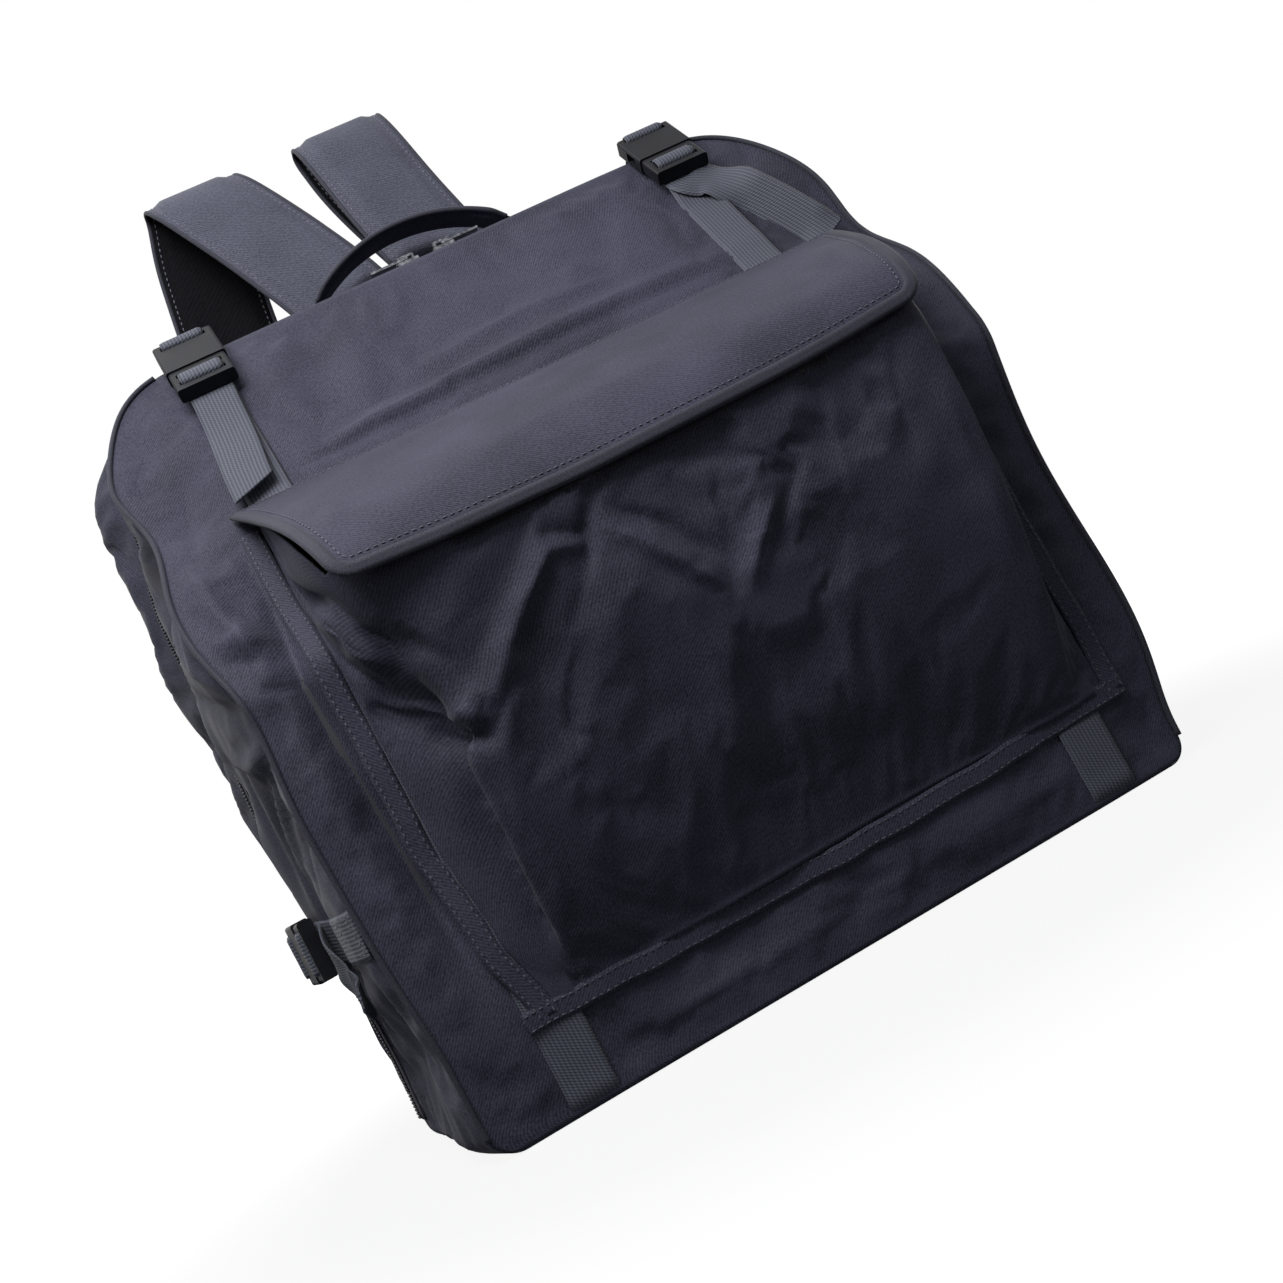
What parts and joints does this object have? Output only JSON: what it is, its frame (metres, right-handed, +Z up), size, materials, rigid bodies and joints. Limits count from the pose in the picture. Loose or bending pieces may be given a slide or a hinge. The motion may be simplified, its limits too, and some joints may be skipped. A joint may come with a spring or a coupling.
{
  "type": "soft accordion case",
  "caption": "Soft backpack case for an accordion: zipped back cover, sloping front with flap pocket, webbing with side release buckles, top handle and padded shoulder straps",
  "frame": {"origin": "centre of the base's footprint, on the floor", "axes": "+Z up; -Y is the front with the pocket; +X is to the right seen from the front"},
  "size_m": [0.5976, 0.4082, 0.7134],
  "materials": {
    "oxford_cloth": "matte",
    "binding": "matte",
    "webbing": "matte",
    "tape": "matte",
    "lining": "matte",
    "foam": "matte",
    "board": "matte",
    "zip_coil": "satin",
    "black_plastic": "satin",
    "gunmetal": "satin"
  },
  "bodies": {
    "front_shell": {"base_panel": "oxford_cloth", "base_board": "board", "base_padding": "foam", "front_panel": "oxford_cloth", "front_padding": "foam", "slope_panel": "oxford_cloth", "slope_padding": "foam", "side_gusset_left": "oxford_cloth", "side_gusset_right": "oxford_cloth", "side_padding_left": "foam", "side_padding_right": "foam", "front_lining": "lining", "seam_piping": "binding", "zip_tape_front": "tape", "zip_teeth_front": "zip_coil", "pocket_panel": "oxford_cloth", "pocket_gussets": "oxford_cloth", "pocket_hem": "binding", "pocket_loop_tape": "tape", "front_webbings": "webbing", "side_webbings": "webbing"},
    "pocket_flap": {"pocket_flap": "oxford_cloth", "flap_binding": "binding", "flap_hook_tape": "tape"},
    "back_cover": {"back_panel": "oxford_cloth", "back_padding": "foam", "cover_gusset": "oxford_cloth", "cover_padding": "foam", "cover_lining": "lining", "zip_tape_back": "tape", "zip_teeth_back": "zip_coil", "cover_webbings": "webbing", "female_buckles": "black_plastic", "strap_yoke": "oxford_cloth", "shoulder_strap_left": "oxford_cloth", "shoulder_strap_right": "oxford_cloth", "ladder_locks": "black_plastic", "lower_webbings": "webbing", "handle_patches": "oxford_cloth"},
    "handle": {"handle_grip": "oxford_cloth"},
    "zip_slider_left": {"zip_slider_left": "gunmetal"},
    "zip_pull_left": {"zip_pull_left": "gunmetal"},
    "top_buckle_male_left": {"top_buckle_male_left": "black_plastic", "top_webbing_tail_left": "webbing"},
    "top_buckle_prong_left_inner": {"top_buckle_prong_left_inner": "black_plastic"},
    "top_buckle_prong_left_outer": {"top_buckle_prong_left_outer": "black_plastic"},
    "side_buckle_male_left": {"side_buckle_male_left": "black_plastic", "side_webbing_tail_left": "webbing"},
    "side_buckle_prong_left_upper": {"side_buckle_prong_left_upper": "black_plastic"},
    "side_buckle_prong_left_lower": {"side_buckle_prong_left_lower": "black_plastic"},
    "zip_slider_right": {"zip_slider_right": "gunmetal"},
    "zip_pull_right": {"zip_pull_right": "gunmetal"},
    "top_buckle_male_right": {"top_buckle_male_right": "black_plastic", "top_webbing_tail_right": "webbing"},
    "top_buckle_prong_right_outer": {"top_buckle_prong_right_outer": "black_plastic"},
    "top_buckle_prong_right_inner": {"top_buckle_prong_right_inner": "black_plastic"},
    "side_buckle_male_right": {"side_buckle_male_right": "black_plastic", "side_webbing_tail_right": "webbing"},
    "side_buckle_prong_right_lower": {"side_buckle_prong_right_lower": "black_plastic"},
    "side_buckle_prong_right_upper": {"side_buckle_prong_right_upper": "black_plastic"}
  },
  "joints": [
    {"name": "cover_hinge", "type": "hinge", "parent": "front_shell", "child": "back_cover", "pos_m": [0, 0.125, 0.024], "axis": [-1, 0, 0], "range_deg": [0, 75]},
    {"name": "flap_hinge", "type": "hinge", "parent": "front_shell", "child": "pocket_flap", "pos_m": [0, -0.05131, 0.40617], "axis": [-1, 0, 0], "range_deg": [0, 100]},
    {"name": "handle_swing", "type": "hinge", "parent": "back_cover", "child": "handle", "pos_m": [0, 0.109, 0.54555], "axis": [1, 0, 0], "range_deg": [-5, 50]},
    {"name": "zip_slide_left", "type": "slide", "parent": "front_shell", "child": "zip_slider_left", "axis": [-1, 0, 0], "range_m": [0, 0.115]},
    {"name": "zip_pull_swing_left", "type": "hinge", "parent": "zip_slider_left", "child": "zip_pull_left", "pos_m": [-0.014, 0.055, 0.5421], "axis": [0, 1, 0], "range_deg": [0, 100]},
    {"name": "top_buckle_slide_left", "type": "slide", "parent": "front_shell", "child": "top_buckle_male_left", "axis": [0, -0.6691, -0.7431], "range_m": [0, 0.03]},
    {"name": "top_button_left_inner", "type": "hinge", "parent": "top_buckle_male_left", "child": "top_buckle_prong_left_inner", "pos_m": [-0.1664, 0.01636, 0.51995], "axis": [0, -0.7431, 0.6691], "range_deg": [0, 6], "stiffness_Nm_per_rad": 0.5},
    {"name": "top_button_left_outer", "type": "hinge", "parent": "top_buckle_male_left", "child": "top_buckle_prong_left_outer", "pos_m": [-0.1916, 0.01636, 0.51995], "axis": [0, 0.7431, -0.6691], "range_deg": [0, 6], "stiffness_Nm_per_rad": 0.5},
    {"name": "side_buckle_slide_left", "type": "slide", "parent": "front_shell", "child": "side_buckle_male_left", "axis": [0.1602, -0.9871, 0], "range_m": [0, 0.03]},
    {"name": "side_button_left_upper", "type": "hinge", "parent": "side_buckle_male_left", "child": "side_buckle_prong_left_upper", "pos_m": [-0.28493, 0.02268, 0.1606], "axis": [-0.9871, -0.1602, 0], "range_deg": [0, 6], "stiffness_Nm_per_rad": 0.5},
    {"name": "side_button_left_lower", "type": "hinge", "parent": "side_buckle_male_left", "child": "side_buckle_prong_left_lower", "pos_m": [-0.28493, 0.02268, 0.1354], "axis": [0.9871, 0.1602, 0], "range_deg": [0, 6], "stiffness_Nm_per_rad": 0.5},
    {"name": "zip_slide_right", "type": "slide", "parent": "front_shell", "child": "zip_slider_right", "axis": [1, 0, 0], "range_m": [0, 0.115]},
    {"name": "zip_pull_swing_right", "type": "hinge", "parent": "zip_slider_right", "child": "zip_pull_right", "pos_m": [0.014, 0.055, 0.5421], "axis": [0, -1, 0], "range_deg": [0, 100]},
    {"name": "top_buckle_slide_right", "type": "slide", "parent": "front_shell", "child": "top_buckle_male_right", "axis": [0, -0.6691, -0.7431], "range_m": [0, 0.03]},
    {"name": "top_button_right_outer", "type": "hinge", "parent": "top_buckle_male_right", "child": "top_buckle_prong_right_outer", "pos_m": [0.1916, 0.01636, 0.51995], "axis": [0, -0.7431, 0.6691], "range_deg": [0, 6], "stiffness_Nm_per_rad": 0.5},
    {"name": "top_button_right_inner", "type": "hinge", "parent": "top_buckle_male_right", "child": "top_buckle_prong_right_inner", "pos_m": [0.1664, 0.01636, 0.51995], "axis": [0, 0.7431, -0.6691], "range_deg": [0, 6], "stiffness_Nm_per_rad": 0.5},
    {"name": "side_buckle_slide_right", "type": "slide", "parent": "front_shell", "child": "side_buckle_male_right", "axis": [-0.1602, -0.9871, 0], "range_m": [0, 0.03]},
    {"name": "side_button_right_lower", "type": "hinge", "parent": "side_buckle_male_right", "child": "side_buckle_prong_right_lower", "pos_m": [0.28493, 0.02268, 0.1354], "axis": [0.9871, -0.1602, 0], "range_deg": [0, 6], "stiffness_Nm_per_rad": 0.5},
    {"name": "side_button_right_upper", "type": "hinge", "parent": "side_buckle_male_right", "child": "side_buckle_prong_right_upper", "pos_m": [0.28493, 0.02268, 0.1606], "axis": [-0.9871, 0.1602, 0], "range_deg": [0, 6], "stiffness_Nm_per_rad": 0.5}
  ],
  "couplings": [
    {"joint": "top_button_left_outer", "follows": "top_button_left_inner", "ratio": 1},
    {"joint": "side_button_left_lower", "follows": "side_button_left_upper", "ratio": 1},
    {"joint": "top_button_right_inner", "follows": "top_button_right_outer", "ratio": 1},
    {"joint": "side_button_right_upper", "follows": "side_button_right_lower", "ratio": 1}
  ]
}
